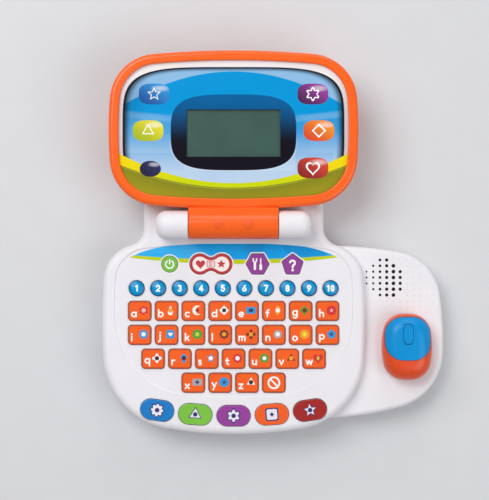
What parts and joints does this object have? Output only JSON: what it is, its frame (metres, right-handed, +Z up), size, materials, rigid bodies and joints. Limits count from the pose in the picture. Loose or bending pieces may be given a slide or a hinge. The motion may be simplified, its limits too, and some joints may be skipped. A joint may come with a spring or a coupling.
{
  "type": "toy laptop computer",
  "caption": "Toy laptop with a lid that folds over the keyboard, travelling keys, a captive mouse on a side pad and a carrying handle behind the hinge.",
  "frame": {"origin": "under the middle of the opened toy, on the surface it stands on", "axes": "+X to the side with the mouse pad, +Y to the back where the open lid lies, +Z up"},
  "size_m": [0.2886, 0.321, 0.0551],
  "materials": {
    "shell_white": "satin moulded ABS",
    "inner_white": "plain moulded ABS",
    "lid_orange": "glossy moulded ABS",
    "key_orange": "satin moulded keycap with printed legend",
    "number_blue": "glossy domed keycap",
    "mouse_blue": "satin moulded ABS",
    "key_green": "satin moulded keycap",
    "key_red": "satin moulded keycap",
    "key_purple": "satin moulded keycap",
    "key_dark_red": "satin moulded keycap",
    "key_blue": "satin moulded keycap",
    "badge_white": "glossy moulded badge",
    "panel_print": "printed polystyrene sheet",
    "lens_clear": "clear window",
    "lcd_glass": "unlit liquid crystal glass",
    "board_green": "circuit board",
    "silicone_grey": "silicone",
    "steel": "zinc plated",
    "foot_rubber": "soft rubber",
    "cell_wrap": "printed steel can",
    "speaker_black": "paper cone in a black frame"
  },
  "bodies": {
    "base": {"base_top_shell": "shell_white", "base_bottom_shell": "shell_white", "battery_door": "shell_white", "batteries": "cell_wrap", "battery_contacts": "steel", "base_screws": "steel", "rubber_feet": "foot_rubber", "main_board": "board_green", "key_mat": "silicone_grey", "speaker": "speaker_black", "hinge_pins": "steel"},
    "lid": {"lid_front_frame": "lid_orange", "lid_back_cover": "lid_orange", "tab_plugs": "lid_orange", "lid_badge": "badge_white", "lid_screws": "steel", "display_panel": "panel_print", "display_lens": "lens_clear", "lcd_module": "lcd_glass"},
    "mouse_slide": {"mouse_slide": "inner_white"},
    "mouse": {"mouse_body": "lid_orange", "mouse_retainer": "inner_white"},
    "mouse_button": {"mouse_button": "mouse_blue"},
    "number_keys": {"number_keys": "number_blue"},
    "power_key": {"power_key": "key_green"},
    "name_key": {"name_key": "key_red"},
    "tools_key": {"tools_key": "key_purple"},
    "help_key": {"help_key": "key_purple"},
    "blue_mode_key": {"blue_mode_key": "key_blue"},
    "green_mode_key": {"green_mode_key": "key_green"},
    "purple_mode_key": {"purple_mode_key": "key_purple"},
    "orange_mode_key": {"orange_mode_key": "key_orange"},
    "red_mode_key": {"red_mode_key": "key_dark_red"},
    "key_a": {"key_a": "key_orange"},
    "key_b": {"key_b": "key_orange"},
    "key_c": {"key_c": "key_orange"},
    "key_d": {"key_d": "key_orange"},
    "key_e": {"key_e": "key_orange"},
    "key_f": {"key_f": "key_orange"},
    "key_g": {"key_g": "key_orange"},
    "key_h": {"key_h": "key_orange"},
    "key_i": {"key_i": "key_orange"},
    "key_j": {"key_j": "key_orange"},
    "key_k": {"key_k": "key_orange"},
    "key_l": {"key_l": "key_orange"},
    "key_m": {"key_m": "key_orange"},
    "key_n": {"key_n": "key_orange"},
    "key_o": {"key_o": "key_orange"},
    "key_p": {"key_p": "key_orange"},
    "key_q": {"key_q": "key_orange"},
    "key_r": {"key_r": "key_orange"},
    "key_s": {"key_s": "key_orange"},
    "key_t": {"key_t": "key_orange"},
    "key_u": {"key_u": "key_orange"},
    "key_v": {"key_v": "key_orange"},
    "key_w": {"key_w": "key_orange"},
    "key_x": {"key_x": "key_orange"},
    "key_y": {"key_y": "key_orange"},
    "key_z": {"key_z": "key_orange"},
    "key_clear": {"key_clear": "key_orange"}
  },
  "joints": [
    {"name": "lid_hinge", "type": "hinge", "parent": "base", "child": "lid", "pos_m": [-0.03335, 0.0155, 0.0431], "axis": [-1, 0, 0], "range_deg": [-180, 0]},
    {"name": "mouse_sideways", "type": "slide", "parent": "base", "child": "mouse_slide", "axis": [1, 0, 0], "range_m": [-0.004, 0.004], "stiffness_N_per_m": 150},
    {"name": "mouse_back_forth", "type": "slide", "parent": "mouse_slide", "child": "mouse", "axis": [0, 1, 0], "range_m": [-0.004, 0.004], "stiffness_N_per_m": 150},
    {"name": "mouse_click", "type": "slide", "parent": "mouse", "child": "mouse_button", "axis": [0, 0, -1], "range_m": [0, 0.0012], "stiffness_N_per_m": 1000},
    {"name": "press_number_keys", "type": "slide", "parent": "base", "child": "number_keys", "axis": [0, 0, -1], "range_m": [0, 0.0012], "stiffness_N_per_m": 3000},
    {"name": "press_power_key", "type": "slide", "parent": "base", "child": "power_key", "axis": [0, 0, -1], "range_m": [0, 0.0012], "stiffness_N_per_m": 1000},
    {"name": "press_name_key", "type": "slide", "parent": "base", "child": "name_key", "axis": [0, 0, -1], "range_m": [0, 0.0012], "stiffness_N_per_m": 1000},
    {"name": "press_tools_key", "type": "slide", "parent": "base", "child": "tools_key", "axis": [0, 0, -1], "range_m": [0, 0.0012], "stiffness_N_per_m": 1000},
    {"name": "press_help_key", "type": "slide", "parent": "base", "child": "help_key", "axis": [0, 0, -1], "range_m": [0, 0.0012], "stiffness_N_per_m": 1000},
    {"name": "press_blue_mode_key", "type": "slide", "parent": "base", "child": "blue_mode_key", "axis": [0, 0, -1], "range_m": [0, 0.0012], "stiffness_N_per_m": 1000},
    {"name": "press_green_mode_key", "type": "slide", "parent": "base", "child": "green_mode_key", "axis": [0, 0, -1], "range_m": [0, 0.0012], "stiffness_N_per_m": 1000},
    {"name": "press_purple_mode_key", "type": "slide", "parent": "base", "child": "purple_mode_key", "axis": [0, 0, -1], "range_m": [0, 0.0012], "stiffness_N_per_m": 1000},
    {"name": "press_orange_mode_key", "type": "slide", "parent": "base", "child": "orange_mode_key", "axis": [0, 0, -1], "range_m": [0, 0.0012], "stiffness_N_per_m": 1000},
    {"name": "press_red_mode_key", "type": "slide", "parent": "base", "child": "red_mode_key", "axis": [0, 0, -1], "range_m": [0, 0.0012], "stiffness_N_per_m": 1000},
    {"name": "press_key_a", "type": "slide", "parent": "base", "child": "key_a", "axis": [0, 0, -1], "range_m": [0, 0.0012], "stiffness_N_per_m": 1000},
    {"name": "press_key_b", "type": "slide", "parent": "base", "child": "key_b", "axis": [0, 0, -1], "range_m": [0, 0.0012], "stiffness_N_per_m": 1000},
    {"name": "press_key_c", "type": "slide", "parent": "base", "child": "key_c", "axis": [0, 0, -1], "range_m": [0, 0.0012], "stiffness_N_per_m": 1000},
    {"name": "press_key_d", "type": "slide", "parent": "base", "child": "key_d", "axis": [0, 0, -1], "range_m": [0, 0.0012], "stiffness_N_per_m": 1000},
    {"name": "press_key_e", "type": "slide", "parent": "base", "child": "key_e", "axis": [0, 0, -1], "range_m": [0, 0.0012], "stiffness_N_per_m": 1000},
    {"name": "press_key_f", "type": "slide", "parent": "base", "child": "key_f", "axis": [0, 0, -1], "range_m": [0, 0.0012], "stiffness_N_per_m": 1000},
    {"name": "press_key_g", "type": "slide", "parent": "base", "child": "key_g", "axis": [0, 0, -1], "range_m": [0, 0.0012], "stiffness_N_per_m": 1000},
    {"name": "press_key_h", "type": "slide", "parent": "base", "child": "key_h", "axis": [0, 0, -1], "range_m": [0, 0.0012], "stiffness_N_per_m": 1000},
    {"name": "press_key_i", "type": "slide", "parent": "base", "child": "key_i", "axis": [0, 0, -1], "range_m": [0, 0.0012], "stiffness_N_per_m": 1000},
    {"name": "press_key_j", "type": "slide", "parent": "base", "child": "key_j", "axis": [0, 0, -1], "range_m": [0, 0.0012], "stiffness_N_per_m": 1000},
    {"name": "press_key_k", "type": "slide", "parent": "base", "child": "key_k", "axis": [0, 0, -1], "range_m": [0, 0.0012], "stiffness_N_per_m": 1000},
    {"name": "press_key_l", "type": "slide", "parent": "base", "child": "key_l", "axis": [0, 0, -1], "range_m": [0, 0.0012], "stiffness_N_per_m": 1000},
    {"name": "press_key_m", "type": "slide", "parent": "base", "child": "key_m", "axis": [0, 0, -1], "range_m": [0, 0.0012], "stiffness_N_per_m": 1000},
    {"name": "press_key_n", "type": "slide", "parent": "base", "child": "key_n", "axis": [0, 0, -1], "range_m": [0, 0.0012], "stiffness_N_per_m": 1000},
    {"name": "press_key_o", "type": "slide", "parent": "base", "child": "key_o", "axis": [0, 0, -1], "range_m": [0, 0.0012], "stiffness_N_per_m": 1000},
    {"name": "press_key_p", "type": "slide", "parent": "base", "child": "key_p", "axis": [0, 0, -1], "range_m": [0, 0.0012], "stiffness_N_per_m": 1000},
    {"name": "press_key_q", "type": "slide", "parent": "base", "child": "key_q", "axis": [0, 0, -1], "range_m": [0, 0.0012], "stiffness_N_per_m": 1000},
    {"name": "press_key_r", "type": "slide", "parent": "base", "child": "key_r", "axis": [0, 0, -1], "range_m": [0, 0.0012], "stiffness_N_per_m": 1000},
    {"name": "press_key_s", "type": "slide", "parent": "base", "child": "key_s", "axis": [0, 0, -1], "range_m": [0, 0.0012], "stiffness_N_per_m": 1000},
    {"name": "press_key_t", "type": "slide", "parent": "base", "child": "key_t", "axis": [0, 0, -1], "range_m": [0, 0.0012], "stiffness_N_per_m": 1000},
    {"name": "press_key_u", "type": "slide", "parent": "base", "child": "key_u", "axis": [0, 0, -1], "range_m": [0, 0.0012], "stiffness_N_per_m": 1000},
    {"name": "press_key_v", "type": "slide", "parent": "base", "child": "key_v", "axis": [0, 0, -1], "range_m": [0, 0.0012], "stiffness_N_per_m": 1000},
    {"name": "press_key_w", "type": "slide", "parent": "base", "child": "key_w", "axis": [0, 0, -1], "range_m": [0, 0.0012], "stiffness_N_per_m": 1000},
    {"name": "press_key_x", "type": "slide", "parent": "base", "child": "key_x", "axis": [0, 0, -1], "range_m": [0, 0.0012], "stiffness_N_per_m": 1000},
    {"name": "press_key_y", "type": "slide", "parent": "base", "child": "key_y", "axis": [0, 0, -1], "range_m": [0, 0.0012], "stiffness_N_per_m": 1000},
    {"name": "press_key_z", "type": "slide", "parent": "base", "child": "key_z", "axis": [0, 0, -1], "range_m": [0, 0.0012], "stiffness_N_per_m": 1000},
    {"name": "press_key_clear", "type": "slide", "parent": "base", "child": "key_clear", "axis": [0, 0, -1], "range_m": [0, 0.0012], "stiffness_N_per_m": 1000}
  ]
}
